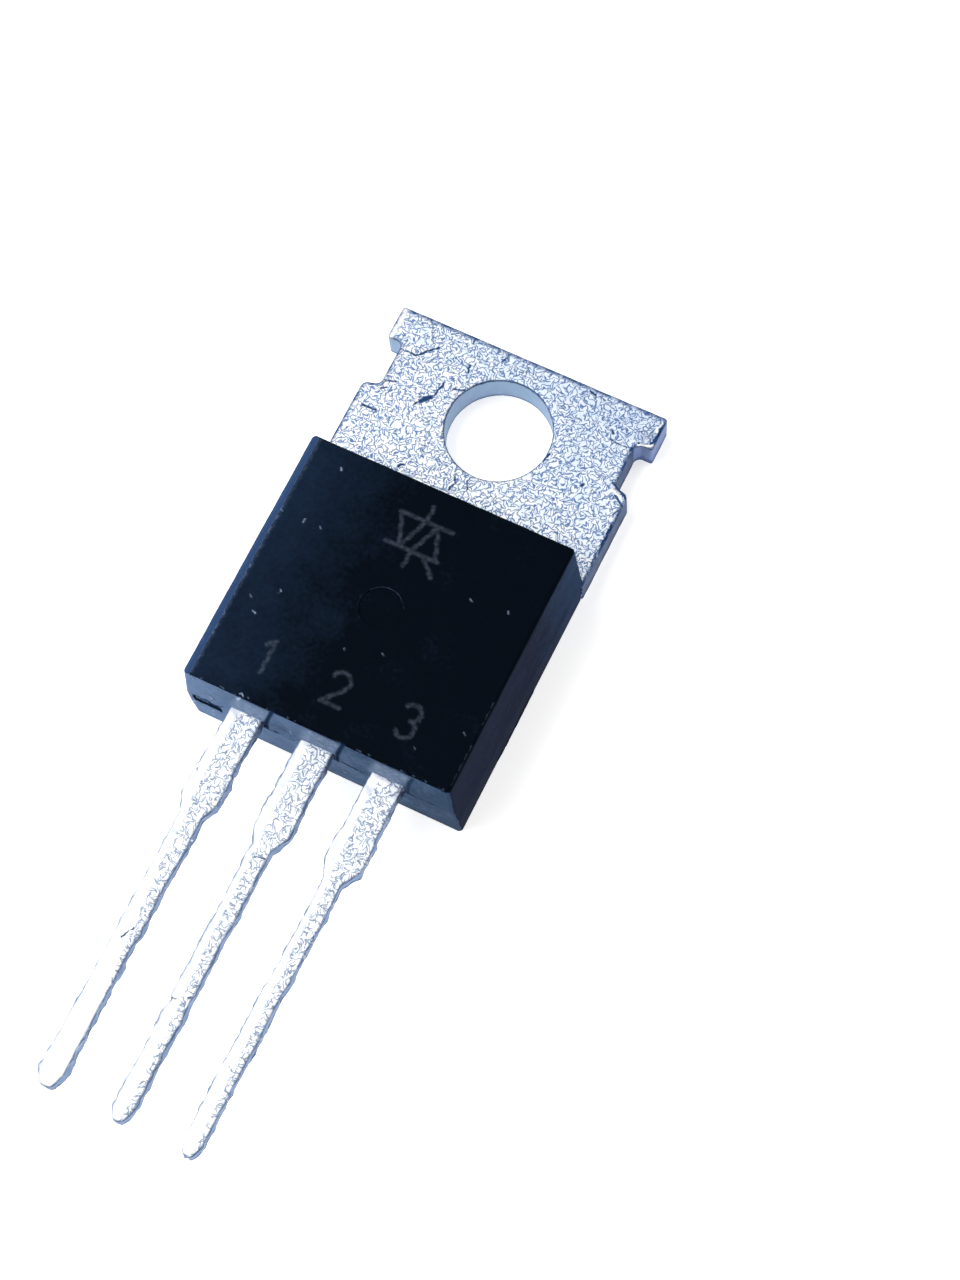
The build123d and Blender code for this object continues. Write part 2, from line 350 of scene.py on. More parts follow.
score(plated_tab, [
    # crack below the left ear, with its branches
    on_tab(0.044, 0.012, 0.9, (-3.18, 1.91), (-3.36, 1.77), (-3.56, 1.53), (-3.80, 1.30), (-3.95, 1.33)),
    on_tab(0.036, 0.008, 0.6, (-3.95, 1.33), (-4.16, 1.34), (-4.39, 1.32)),
    on_tab(0.036, 0.005, 0.5, (-3.90, 2.71), (-3.72, 2.49), (-3.60, 2.19), (-3.42, 1.97)),
    # smooth bright band along the left ear
    on_tab(0.09, 0, -0.75, (-4.84, 2.66), (-4.86, 1.45), (-4.62, 1.36)),
    # gouge left of the hole, widest at its lower end
    on_tab(0.044, 0.012, 0.9, (-2.45, 0.77), (-2.51, 0.44), (-2.61, 0.13)),
    on_tab(0.085, 0.03, 1, (-2.61, 0.13), (-2.79, -0.01), (-2.87, -0.13)),
    on_tab(0.044, 0.008, 0.8, (-2.87, -0.13), (-3.00, -0.33)),
    on_tab(0.036, 0.008, 0.9, (-2.06, 0.73), (-1.78, 0.81), (-1.51, 0.92)),
    # lesser scratches
    on_tab(0.044, 0.01, 0.9, (-4.60, -1.10), (-4.10, -1.08)),
    on_tab(0.036, 0.005, 0.5, (-2.15, -0.70), (-2.09, -1.04), (-2.06, -1.25), (-2.00, -1.70),
           (-1.93, -1.95)),
    on_tab(0.036, 0.005, 0.7, (-2.18, 2.75), (-2.23, 2.53)),
    on_tab(0.036, 0.008, 0.8, (-0.87, 2.71), (-0.94, 2.56), (-0.99, 2.30)),
    on_tab(0.036, 0.005, 0.6, (-0.09, 2.53), (-0.06, 2.27)),
    on_tab(0.044, 0.008, 0.9, (-1.95, 1.76), (-1.87, 1.49)),
    on_tab(0.044, 0.008, 0.7, (-4.29, 0.03), (-3.94, 0.15)),
    on_tab(0.044, 0.01, 0.9, (-4.29, -0.30), (-4.16, -0.18)),
    on_tab(0.044, 0.008, 0.8, (-0.55, -2.15), (-0.48, -2.35), (-0.55, -2.65)),
    on_tab(0.036, 0.008, 0.8, (-0.12, -2.08), (0.0, -2.4)),
    on_tab(0.05, 0.01, 0.9, (-2.35, -2.48), (-2.48, -2.62)),
    on_tab(0.036, 0.008, 0.8, (-1.31, 1.31), (-1.15, 1.42), (-1.01, 1.50)),
    on_tab(0.05, 0.01, 0.9, (1.92, -0.05), (1.86, -0.38)),
    # dents
    on_tab(0.06, 0.02, 0.9, (3.56, 1.56), (3.52, 1.60)),
    on_tab(0.068, 0.02, 0.9, (3.45, -0.56), (3.43, -0.62)),
    on_tab(0.05, 0.01, 0.9, (2.20, 2.62), (2.38, 2.58)),
    # torn corner of the right ear: a crack, a bright burr above it and a smeared patch
    on_tab(0.03, 0.008, 0.8, (3.54, 1.31), (3.94, 1.27), (4.23, 1.29), (4.40, 1.34)),
    on_tab(0.038, 0.02, 1, (4.36, 1.22), (4.42, 1.46), (4.52, 1.60)),
    on_tab(0.044, 0.016, 0.9, (4.84, 1.72), (4.93, 1.95), (4.95, 2.40)),
    on_tab(0.07, -0.02, -1, (4.50, 1.52), (4.74, 1.55), (4.92, 1.68)),
    on_tab(0.16, 0.008, 0.25, (4.50, 1.85), (4.80, 2.10)),
    on_tab(0.03, 0.005, 0.6, (4.30, 1.95), (4.52, 2.10), (4.60, 2.30)),
    on_tab(0.03, 0.005, 0.6, (4.60, 1.80), (4.72, 1.95), (4.70, 2.15)),
    on_tab(0.04, -0.008, -0.8, (4.86, 2.20), (4.88, 2.62)),
    # metal and plating dragged over the right side
    on_tab(0.044, 0.012, 0.8, (4.30, -0.08), (4.62, -0.22), (4.96, -0.42)),
    on_tab(0.044, 0.01, 0.8, (4.55, -0.46), (4.80, -0.60), (4.97, -0.72)),
    on_tab(0.06, -0.012, -0.8, (4.40, -0.30), (4.72, -0.44)),
    on_tab(0.036, 0.01, 0.7, (4.94, -0.80), (4.82, -1.20)),
    on_tab(0.05, 0.016, 0.9, (4.93, -1.48), (4.96, -1.90), (4.94, -2.25)),
    on_tab(0.036, 0.01, 0.7, (4.90, -2.60), (4.95, -3.10)),
    # painted shade on the centre lead's right side, where it leaves the plastic
    shade_beside_lead(0),
    # creases across the centre lead
    on_lead(0.026, 0.012, 0.7, (-0.15, -17.10), (0.28, -17.02)),
    on_lead(0.026, 0.012, 0.6, (-0.40, -22.28), (-0.05, -22.20), (0.10, -22.30)),
    on_lead(0.039, 0.012, 0.6, (0.13, -22.05), (0.17, -22.0)),
], tab_step)


def linear(hex_colour):
    """An sRGB hex colour as the linear colour that a shader takes."""
    shares = [int(hex_colour[i:i + 2], 16) / 255 for i in (0, 2, 4)]
    return [s / 12.92 if s <= 0.04045 else ((s + 0.055) / 1.055) ** 2.4 for s in shares] + [1]


def add_node(material, kind, inputs, **settings):
    """Adds a node. Inputs are values or other nodes' outputs, by socket name or number."""
    new = material.node_tree.nodes.new("ShaderNode" + kind)
    for name, value in settings.items():
        setattr(new, name, value)
    for socket, value in inputs.items():
        if isinstance(value, bpy.types.NodeSocket):
            material.node_tree.links.new(value, new.inputs[socket])
        else:
            new.inputs[socket].default_value = value
    return new


def start_material(name, metallic, roughness, specular=0.5):
    """A material with its object coordinates and its principled shader."""
    material = bpy.data.materials.new(name)
    material.use_nodes = True
    material.node_tree.nodes.clear()
    place = add_node(material, "TexCoord", {}).outputs["Object"]
    shader = add_node(material, "BsdfPrincipled", {
        "Metallic": metallic, "Roughness": roughness, "Specular IOR Level": specular,
    })
    add_node(material, "OutputMaterial", {"Surface": shader.outputs[0]})
    return material, place, shader


def join(material, shader, colour, bump):
    """Gives the shader its colour and its bumped normal."""
    material.node_tree.links.new(colour, shader.inputs["Base Color"])
    material.node_tree.links.new(bump, shader.inputs["Normal"])


def per_metre(size):
    """The scale of a pattern whose patches are that many millimetres across."""
    return 1 / (size * MM)


def tin_plating(name, crystal, seam_length, seam_width, corner_shade, colours):
    """Matte tin, plated and not reflowed: pale crystals with short bowed seams between them.
    Real crystals are finer, so they are drawn a fifth of a millimetre wide to show. Corner shade is
    how much painted shade darkens the tin towards the top right corner, away from the key lamp."""
    seam, white, haze, edge_shade, corner_shade_colour = (linear(colour) for colour in colours)
    grime_and_shade = linear("2c4c7c")
    bare_metal = linear("ffffff")
    stray = 0.3 * MM  # how far the pattern is drawn out of shape
    curve = 2.0 / MM  # how strongly a seam is bowed
    layer_shift = (3.7 * MM, 1.3 * MM)
    highlight_over = 0.05 * MM  # more than a seam's half width, so that the painted highlight closes it
    material, place, shader = start_material(name, 1, 0.65)

    # three layers of scattered arcs; the value is the distance to the nearest of them
    drift = add_node(material, "TexNoise", {
        "Vector": place, "Scale": per_metre(0.25), "Detail": 1.0,
    })
    drift = add_node(material, "VectorMath", {
        0: drift.outputs["Color"], 1: (0.5, 0.5, 0.5),
    }, operation="SUBTRACT")
    drift = add_node(material, "VectorMath", {
        0: drift.outputs[0], "Scale": stray,
    }, operation="SCALE")
    wound = add_node(material, "VectorMath", {0: place, 1: drift.outputs[0]})
    nearest = 1.0
    for layer in range(3):
        spot = add_node(material, "VectorMath", {
            0: wound.outputs[0], 1: (layer_shift[0] * layer, layer_shift[1] * layer, 0),
        })
        cells = add_node(material, "TexVoronoi", {
            "Vector": spot.outputs[0], "Scale": per_metre(crystal), "Randomness": 0.9,
        }, voronoi_dimensions="2D")
        turn = add_node(material, "Math", {
            0: cells.outputs["Color"], 1: 20.0,
        }, operation="MULTIPLY")
        reach = add_node(material, "VectorMath", {
            0: spot.outputs[0], 1: cells.outputs["Position"],
        }, operation="SUBTRACT")
        reach = add_node(material, "VectorRotate", {
            "Vector": reach.outputs[0], "Angle": turn.outputs[0],
        }, rotation_type="Z_AXIS")
        along = add_node(material, "SeparateXYZ", {0: reach.outputs[0]})
        bow = add_node(material, "Math", {
            0: along.outputs["X"], 1: along.outputs["X"],
        }, operation="MULTIPLY")
        bow = add_node(material, "Math", {
            0: bow.outputs[0], 1: curve, 2: along.outputs["Y"],
        }, operation="MULTIPLY_ADD")
        past = add_node(material, "Math", {0: along.outputs["X"]}, operation="ABSOLUTE")
        past = add_node(material, "Math", {
            0: past.outputs[0], 1: seam_length * MM / 2,
        }, operation="SUBTRACT")
        past = add_node(material, "Math", {0: past.outputs[0], 1: 0.0}, operation="MAXIMUM")
        gap = add_node(material, "CombineXYZ", {0: past.outputs[0], 1: bow.outputs[0]})
        gap = add_node(material, "VectorMath", {0: gap.outputs[0]}, operation="LENGTH")
        nearest = add_node(material, "Math", {
            0: gap.outputs["Value"], 1: nearest,
        }, operation="MINIMUM").outputs[0]

    # painted highlight: on the left part of each lead the seams close, so it shows white
    seamless_highlight = add_node(material, "Attribute", {}, attribute_name="seamless_highlight")
    seamless_highlight = add_node(material, "Math", {
        0: seamless_highlight.outputs["Fac"], 1: highlight_over, 2: nearest,
    }, operation="MULTIPLY_ADD")
    crystals = add_node(material, "MapRange", {
        "Value": seamless_highlight.outputs[0], "From Min": 0.005 * MM, "From Max": seam_width * MM,
    }, interpolation_type="SMOOTHSTEP")

    clouds = add_node(material, "TexNoise", {
        "Vector": place, "Scale": per_metre(0.3), "Detail": 3.0,
    })
    clouds = add_node(material, "MapRange", {
        "Value": clouds.outputs["Fac"], "From Min": 0.4, "From Max": 0.7,
    })
    ground = add_node(material, "Mix", {
        0: clouds.outputs[0], 6: white, 7: haze,
    }, data_type="RGBA")
    shade = add_node(material, "Mix", {
        0: crystals.outputs[0], 6: seam, 7: ground.outputs[2],
    }, data_type="RGBA")

    # painted shade: the tin darkens towards the top right corner, away from the key lamp
    corner = add_node(material, "VectorMath", {
        0: place, 1: (0.05 / MM, 0.1 / MM, 0),
    }, operation="DOT_PRODUCT")
    corner = add_node(material, "MapRange", {
        "Value": corner.outputs["Value"],
        "From Min": -0.25, "From Max": 0.5, "To Min": 0.0, "To Max": corner_shade,
    })
    shade = add_node(material, "Mix", {
        0: corner.outputs[0], 6: shade.outputs[2], 7: corner_shade_colour,
    }, data_type="RGBA", blend_type="MULTIPLY")

    # ragged painted shade along the rounded edges, then the marks: grime and painted shade darken,
    # bright metal lightens
    ragged = add_node(material, "TexNoise", {
        "Vector": place, "Scale": per_metre(0.4), "Detail": 4.0,
    })
    ragged = add_node(material, "MapRange", {
        "Value": ragged.outputs["Fac"],
        "From Min": 0.4, "From Max": 0.6, "To Min": 0.5, "To Max": 1.0,
    })
    edge = add_node(material, "Attribute", {}, attribute_name="edge_shade")
    edge = add_node(material, "MapRange", {
        "Value": edge.outputs["Fac"],
        "From Min": 0.0, "From Max": 0.8, "To Min": 0.0, "To Max": ragged.outputs[0],
    })
    shade = add_node(material, "Mix", {
        0: edge.outputs[0], 6: shade.outputs[2], 7: edge_shade,
    }, data_type="RGBA")
    stain_and_light = add_node(material, "Attribute", {}, attribute_name="stain_and_light")
    darkened = add_node(material, "MapRange", {
        "Value": stain_and_light.outputs["Fac"], "From Min": 0.1, "From Max": 0.75,
    })
    shade = add_node(material, "Mix", {
        0: darkened.outputs[0], 6: shade.outputs[2], 7: grime_and_shade,
    }, data_type="RGBA")
    bright = add_node(material, "Math", {
        0: stain_and_light.outputs["Fac"], 1: -1.0,
    }, operation="MULTIPLY", use_clamp=True)
    shade = add_node(material, "Mix", {
        0: bright.outputs[0], 6: shade.outputs[2], 7: bare_metal,
    }, data_type="RGBA")
    bump = add_node(material, "Bump", {
        "Strength": 0.4, "Distance": 0.01 * MM, "Height": crystals.outputs[0],
    })
    join(material, shader, shade.outputs[2], bump.outputs[0])
    return material


def sheared_metal(name, plain, torn, torn_height):
    """Plated copper side that the punch cut: a smooth cut band above, and below it, up to about
    the given height, the rougher and darker band where the metal tore instead."""
    brighter = linear("7c94c0")
    edge_shade = linear("203860")
    grime_and_shade = linear("142848")
    ragged = 0.8 * MM  # how far the edge between the bands wanders up and down
    blur = 0.1  # half the height over which one band passes into the other
    material, place, shader = start_material(name, 1, 0.55)
    tears = add_node(material, "TexNoise", {
        "Vector": place, "Scale": per_metre(0.35), "Detail": 4.0,
    })
    tears = add_node(material, "Math", {
        0: tears.outputs["Fac"], 1: ragged,
    }, operation="MULTIPLY")
    height = add_node(material, "SeparateXYZ", {0: place})
    tears = add_node(material, "Math", {
        0: tears.outputs[0], 1: height.outputs["Z"],
    }, operation="SUBTRACT")
    tears = add_node(material, "MapRange", {
        "Value": tears.outputs[0],
        "From Min": ragged / 2 - (torn_height + blur) * MM,
        "From Max": ragged / 2 - (torn_height - blur) * MM,
    }, interpolation_type="SMOOTHSTEP")
    clouds = add_node(material, "TexNoise", {
        "Vector": place, "Scale": per_metre(0.3), "Detail": 3.0,
    })
    clouds = add_node(material, "MapRange", {
        "Value": clouds.outputs["Fac"],
        "From Min": 0.3, "From Max": 0.7, "To Min": 0.0, "To Max": 0.25,
    })
    shade = add_node(material, "Mix", {
        0: clouds.outputs[0], 6: linear(plain), 7: brighter,
    }, data_type="RGBA")
    shade = add_node(material, "Mix", {
        0: tears.outputs[0], 6: shade.outputs[2], 7: linear(torn),
    }, data_type="RGBA")
    # painted shade along the rounded front edge and by the burr at the back
    edge = add_node(material, "Attribute", {}, attribute_name="edge_shade")
    edge = add_node(material, "Math", {0: edge.outputs["Fac"], 1: 0.65}, operation="MULTIPLY")
    shade = add_node(material, "Mix", {
        0: edge.outputs[0], 6: shade.outputs[2], 7: edge_shade,
    }, data_type="RGBA")
    # marks: grime, and painted shade where a lead leaves the plastic
    stain_and_light = add_node(material, "Attribute", {}, attribute_name="stain_and_light")
    shade = add_node(material, "Mix", {
        0: stain_and_light.outputs["Fac"], 6: shade.outputs[2], 7: grime_and_shade,
    }, data_type="RGBA")
    bump = add_node(material, "Bump", {
        "Strength": 0.4, "Distance": 0.02 * MM, "Height": tears.outputs[0],
    })
    join(material, shader, shade.outputs[2], bump.outputs[0])
    return material


ear_low = 1.3  # height along y above which a side belongs to an ear
upright = 0.55  # a face whose normal rises less than this belongs to a side
tab_tin = tin_plating(
    "matte_tin_on_tab", crystal=0.19, seam_length=0.165, seam_width=0.0255, corner_shade=0.5,
    colours=("6888b8", "ffffff", "ecf4fb", "34588c", "bccfea"))
lead_tin = tin_plating(
    "matte_tin_on_leads", crystal=0.22, seam_length=0.19, seam_width=0.026, corner_shade=0.0,
    colours=("8c9cb4", "fcfcff", "e4ecf4", "8094b4", "ffffff"))
# lit and shaded copies of one sheared finish, as painted light: the tab's sides dark as painted shade,
# the lower sides and the ears paler, the hole's wall palest
tab_side = sheared_metal("sheared_tab_side_shaded_copy", "2c446c", "203456", torn_height=0.35)
ear_side = sheared_metal("sheared_ear_lit_copy", "7488b4", "54689a", torn_height=0.35)
pierced_wall = sheared_metal("pierced_hole_wall_lit_copy", "94adc6", "8ca4c0", torn_height=0.2)
lead_side = sheared_metal("sheared_lead_side", "889cbc", "7088ac", torn_height=lead_back + 0.15)


def tab_finish(centres, normals):
    """Which of the finishes each face of the tab and its lead has, as its place in the list. The
    sides take lit and shaded copies of one sheared finish by the way they face, as painted light:
    the left ear's lower side is painted as bright as the hole's wall."""
    side = np.abs(normals[:, 2]) < upright
    lower = side & (normals[:, 1] < -0.5)
    walled = side & (np.hypot(centres[:, 0], centres[:, 1]) < hole_radius + punch_round)
    finish = np.where(side, 1, 0)
    finish = np.where(lower | (side & (centres[:, 1] > ear_low)), 2, finish)
    finish = np.where(walled | (lower & (centres[:, 0] < 0)), 3, finish)
    lead = centres[:, 1] < body_top - 1
    return np.where(lead, np.where(side, 5, 4), finish)


finish_piece(
    plated_tab, "heatsink_tab",
    (tab_tin, tab_side, ear_side, pierced_wall, lead_tin, lead_side), tab_finish)

# ---------------------------------------------------------------------------------------------
# Outer leads: stamped from the thin part of the same copper strip and cut loose from it after
# moulding. The tin is lumpy along their edges.

# each lead's own outline, as shape_lead takes it
t1_shifts = [
    (lead_exit, -0.03, -0.04), (-14.0, -0.055, -0.065), (-15.1, -0.09, -0.09), (-16.1, -0.09, -0.09),
    (-16.8, -0.11, -0.06), (-18.0, -0.09, -0.03), (-19.5, -0.13, -0.07), (-20.9, -0.10, -0.04),
    (-21.2, -0.13, -0.08), (-23.0, -0.10, -0.05), (-25.0, -0.13, -0.04), (-25.7, -0.17, -0.02),
    (outer_low.y + 0.35, -0.15, -0.02), (outer_low.y + 0.12, -0.08, -0.08), (outer_low.y, 0.04, -0.20),
]
gate_shifts = [
    (lead_exit, -0.01, -0.02), (-14.0, -0.015, -0.035), (-15.1, -0.02, -0.03), (-16.1, -0.02, -0.03),
    (-16.8, -0.035, -0.125), (-18.0, -0.01, -0.10), (-19.2, -0.05, -0.14), (-20.2, -0.03, -0.12),
    (-20.8, -0.105, -0.185), (-22.5, -0.09, -0.16), (-23.5, -0.12, -0.20),
    (outer_low.y + 0.35, -0.10, -0.18), (outer_low.y + 0.12, -0.05, -0.23), (outer_low.y, 0.05, -0.33),
]
t1_marks = [
    on_lead(0.026, 0.016, 0.8, (-2.50, -20.80), (-2.60, -21.05), (-2.72, -21.25)),
    on_lead(0.033, 0.012, 0.5, (-2.85, -15.60), (-2.80, -15.70)),
    on_lead(0.033, 0.012, 0.6, (-3.15, -15.30), (-3.12, -15.36)),
]
gate_marks = [
    on_lead(0.033, 0.012, 0.5, (2.75, -18.60), (2.70, -18.75)),
    on_lead(0.033, 0.012, 0.5, (2.30, -23.40), (2.42, -23.50)),
]
for node_name, piece_name, shifts, plain_end, marks in (
    ("t1_lead", "plated_t1_lead", t1_shifts, 1.0, t1_marks),
    ("gate_lead", "plated_gate_lead", gate_shifts, 0.5, gate_marks),
):
    low, high = (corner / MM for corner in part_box(node_name))
    lead = start_copy(node_name, piece_name)
    free = read(lead.data.vertices, "co")
    free = free[free[:, 1] < lead_exit]
    middle = (free[:, 0].min() + free[:, 0].max()) / 2
    hide_faces(lead, buried)
    round_edges(punch_round)
    cut_grid(
        (middle - collar_half, low.y, low.z), (middle + collar_half, fine_end, high.z), lead_step)
    note_edge_shade(lead, reach=0.05)
    lump_lead(lead, size=0.35, height=0.18)
    lump_lead(lead, size=0.15, height=0.03)
    shape_lead(lead, middle, shifts, plain_end)
    # each lead also gets painted shade on its right side, where it leaves the plastic
    score(lead, marks + [shade_beside_lead(middle)], lead_step)
    finish_piece(
        lead, node_name, (lead_tin, lead_side),
        lambda centres, normals: (np.abs(normals[:, 2]) < upright).astype(int))

# ---------------------------------------------------------------------------------------------
# Body: black epoxy, moulded round the pad and the inner ends of the leads. Its front is matte
# from the spark-eroded mould, and worn along the left edge. Each way a face points gets its own
# lit or shaded copy of the epoxy as painted light, and the lower end, where the mould gate broke
# off, is painted palest, with cracked resin round the leads.

body_step = 0.13
rub_width = 0.30  # strip worn off along the front's left edge
rub_slope = 0.5
side_wall = 0.4  # least thickness of the plastic round the metal: at the sides, and elsewhere
end_wall = 0.3


def inside_body(points):
    """True for the walls of the room that the metal takes up in the plastic."""
    x, y, z = points.T
    return (
        (np.abs(x) < body_high.x - side_wall)
        & (y > body_low.y + end_wall) & (y < body_high.y - end_wall)
        & (z > back_skin) & (z < body_high.z - end_wall)
    )


epoxy_body = start_copy("moulded_body", "epoxy_body")
hide_faces(epoxy_body, inside_body)
cut_grid(body_low, body_high, body_step)
points = read(epoxy_body.data.vertices, "co")
shares = (~inside_body(points) & (points[:, 2] > back_skin)).astype(float)
lump(epoxy_body, size=0.6, height=0.02, shares=shares)
lump(epoxy_body, size=0.2, height=0.008, shares=shares)
points = read(epoxy_body.data.vertices, "co")
in_front = points[:, 2] > body_high.z - 0.1
worn = np.clip(points[in_front, 0].min() + rub_width - points[:, 0], 0, None) * rub_slope
points[:, 2] = np.minimum(points[:, 2], body_high.z - worn)
epoxy_body.data.vertices.foreach_set("co", points.ravel())
epoxy_body.data.update()

# the lower end leans in from its parting line to the back and to the front
end_heights = (0, lead_back, body_high.z)
end_places = (lead_exit + 0.15, lead_exit, lead_exit + 0.11)
gate_mark_depth = 0.12  # broken-off mould gate, a recess in the lower end's left part
gate_lip = lead_back - 0.69  # height of the recess's front edge
side_middle = body_high.x - 0.06  # the right side, halfway up to the front


def on_front(width, depth, stain_and_light, *path):
    """A mark on the body's front face."""
    return [(x, y, body_high.z) for x, y in path], width, depth, stain_and_light


def on_end(width, depth, stain_and_light, *path):
    """A mark on the body's lower end, its path given by x and z."""
    return [(x, np.interp(z, end_heights, end_places), z) for x, z in path], width, depth, stain_and_light


def on_side(width, depth, stain_and_light, *path):
    """A mark on the body's right side, its path given by y and z."""
    return [(side_middle, y, z) for y, z in path], width, depth, stain_and_light


def shade_in_gate_mark(width, inset, *path):
    """Painted shade in the gate's recess, that far in from the lead plane, its path given by x, z."""
    return [(x, lead_exit + inset, z) for x, z in path], width, 0, -0.95


marks = [
    # pale line inside the worn left edge, and one along the right edge
    on_front(0.06, 0, 0.04, (-4.46, -3.85), (-4.48, -12.80)),
    on_front(0.04, 0, 0.04, (4.72, -9.6), (4.72, -10.4)),
    on_front(0.04, 0, 0.05, (4.72, -11.2), (4.72, -12.6)),
    # grains that stand out of the front
    on_front(0.035, -0.02, 0.45, (-3.37, -4.48), (-3.33, -4.55)),
    on_front(0.03, -0.015, 0.3, (-4.47, -6.60), (-4.40, -6.64)),
    on_front(0.035, -0.02, 0.35, (-3.60, -6.58), (-3.60, -6.70)),
    on_front(0.03, -0.01, 0.25, (-3.05, -6.60), (-2.98, -6.66)),
    on_front(0.03, -0.01, 0.3, (-4.00, -9.66), (-3.92, -9.72)),
    on_front(0.03, -0.02, 0.5, (-3.68, -10.12), (-3.56, -10.16)),
    on_front(0.03, -0.01, 0.35, (-3.22, -9.10), (-3.18, -9.14)),
    on_front(0.035, -0.015, 0.2, (2.47, -6.78), (2.54, -6.82)),
    on_front(0.035, -0.015, 0.25, (3.78, -6.63), (3.82, -6.70)),
    on_front(0.03, -0.01, 0.15, (0.78, -9.64), (0.84, -9.68)),
    on_front(0.03, -0.01, 0.15, (-0.42, -10.0), (-0.36, -10.05)),
    on_front(0.03, -0.01, 0.15, (3.08, -12.0), (3.14, -12.04)),
    on_front(0.03, -0.01, 0.15, (4.30, -10.9), (4.36, -10.95)),
    on_front(0.03, -0.03, 0.5, (-2.74, -12.80), (-2.66, -12.76), (-2.60, -12.82)),
    on_front(0.025, -0.02, 0.4, (-2.42, -12.80), (-2.38, -12.84)),
    # rim of the pin mark where it catches the light
    on_front(0.035, 0, 0.03, (0.30, -7.62), (0.58, -7.85), (0.70, -8.20)),
    on_front(0.035, 0, 0.02, (-0.66, -8.00), (-0.72, -8.40), (-0.45, -8.88)),
    # cracked skin of resin at the lower parting line
    on_end(0.03, 0.03, -0.7, (-1.82, 2.28), (-1.53, 2.44), (-1.37, 2.36), (-1.16, 2.32), (-0.90, 2.38)),
    on_end(0.03, 0.03, -0.7, (0.85, 2.52), (1.08, 2.42), (1.25, 2.46), (1.45, 2.32), (1.78, 2.36)),
    on_end(0.03, 0.02, -0.6, (3.25, 2.40), (3.62, 2.33), (4.00, 2.40), (4.45, 2.34)),
    # painted shade beside the leads, where their shadow and dark reflection fall, over shallow grooves
    on_end(0.08, 0.01, -0.95, (-1.56, 4.15), (-1.72, 3.50), (-1.86, 2.90), (-1.88, 2.35)),
    on_end(0.08, 0.01, -0.95, (0.98, 4.15), (0.86, 3.60), (0.72, 2.95), (0.68, 2.35)),
    on_end(0.06, 0.01, -0.6, (3.46, 4.00), (3.32, 3.40), (3.22, 2.40)),
    # painted shade inside the torn gate mark, the crack at its right, and flakes of resin around it
    shade_in_gate_mark(
        0.11, gate_mark_depth,
        (-4.66, 1.95), (-4.58, 2.15), (-4.48, 1.84), (-4.40, 2.22), (-4.30, 1.82), (-4.22, 2.18),
        (-4.12, 1.70), (-4.02, 2.28), (-3.92, 1.70), (-3.82, 2.28), (-3.74, 1.80), (-3.64, 2.28)),
    shade_in_gate_mark(0.07, 0.05, (-4.46, gate_lip), (-4.38, gate_lip)),
    shade_in_gate_mark(0.08, 0.01, (-4.15, gate_lip), (-3.98, gate_lip)),
    shade_in_gate_mark(0.07, 0.04, (-3.82, gate_lip), (-3.70, gate_lip)),
    on_end(0.06, 0, -0.9, (-4.52, 2.38), (-4.40, 2.39)),
    on_end(0.035, 0.01, -0.9, (-3.70, 2.38), (-3.60, 2.40), (-3.49, 2.46)),
    on_end(0.04, 0.01, -0.9, (-4.20, 2.38), (-4.08, 2.42), (-3.98, 2.38)),
    on_end(0.05, -0.03, 0.9, (-4.74, 1.46), (-4.72, 1.36)),
    on_end(0.05, -0.04, 0.8, (-3.88, 2.98), (-3.84, 2.86)),
    on_end(0.05, -0.04, 0.8, (-4.05, 1.44), (-4.02, 1.36)),
    on_end(0.05, -0.03, 0.9, (-4.16, 0.78), (-4.14, 0.70)),
    on_end(0.035, -0.03, 0.6, (-4.44, 4.04), (-4.40, 3.96)),
    on_end(0.06, -0.04, 1.0, (-2.80, 3.90), (-2.72, 4.08)),
    on_end(0.035, -0.02, 0.3, (-0.25, 3.75), (-0.10, 4.00), (0.05, 3.85)),
    on_end(0.03, -0.02, 0.25, (0.00, 3.50), (0.25, 3.35), (0.50, 3.55)),
    # pale grains on the lower end
    on_end(0.035, -0.02, 0.7, (-0.97, 3.22), (-0.93, 3.00)),
    on_end(0.03, -0.02, 0.4, (-2.98, 3.85), (-2.93, 3.65)),
    on_end(0.05, -0.04, 0.6, (0.80, 1.30), (0.84, 1.22)),
    on_end(0.03, -0.02, 0.4, (3.60, 2.20), (3.66, 2.12)),
    on_end(0.03, -0.02, 0.3, (4.05, 2.28), (4.10, 2.24)),
    # chip at the front's right edge, and flash low on the right side
    on_side(0.05, 0.03, 0.7, (-11.55, 3.95), (-11.68, 3.85)),
    on_side(0.09, -0.03, 0.0, (-7.55, 0.15), (-8.60, 0.10), (-10.1, 0.15)),
    on_side(0.06, -0.05, -0.6, (-3.85, 1.15), (-4.00, 0.95), (-3.95, 0.70)),
]
# painted reflection of each lead in the lower end above it, in pale strokes side by side that lean to
# the right
for middle in (-2.59, -0.09, 2.41):
    for shift in (-0.42, -0.14, 0.14, 0.42):
        foot = middle + shift
        marks.append(on_end(0.22, 0, 0.36, (foot + 0.05, 2.9), (foot + 0.30, 3.85)))
# scattered grains: down the rubbed left edge, and along the front's lower edge
grains = random.Random(7)
for _ in range(14):
    y = grains.uniform(-12.5, -4.2)
    run = grains.uniform(0.04, 0.25)
    width = grains.uniform(0.018, 0.03)
    stain_and_light = grains.uniform(0.1, 0.25)
    marks.append(on_front(width, -0.01, stain_and_light, (-4.50, y), (-4.47, y - run)))
for _ in range(40):
    x = grains.uniform(-4.6, 4.5)
    run = grains.uniform(0.02, 0.2)
    y = lead_exit + grains.uniform(0.10, 0.18)
    width = grains.uniform(0.02, 0.035)
    stain_and_light = grains.uniform(0.02, 0.25)
    marks.append(on_front(width, -0.015, stain_and_light, (x, y), (x + run, y)))

# laser marking: the circuit symbol of a triac, and the numbers of the pins
laser_width = 0.075
laser_stain = 0.055
symbol_size = 1.25
symbol_row = -5.55  # y of the symbol's middle, and of the numbers' middles
digit_row = -11.3
digit_size = 1.15
lead_pitch = 2.54


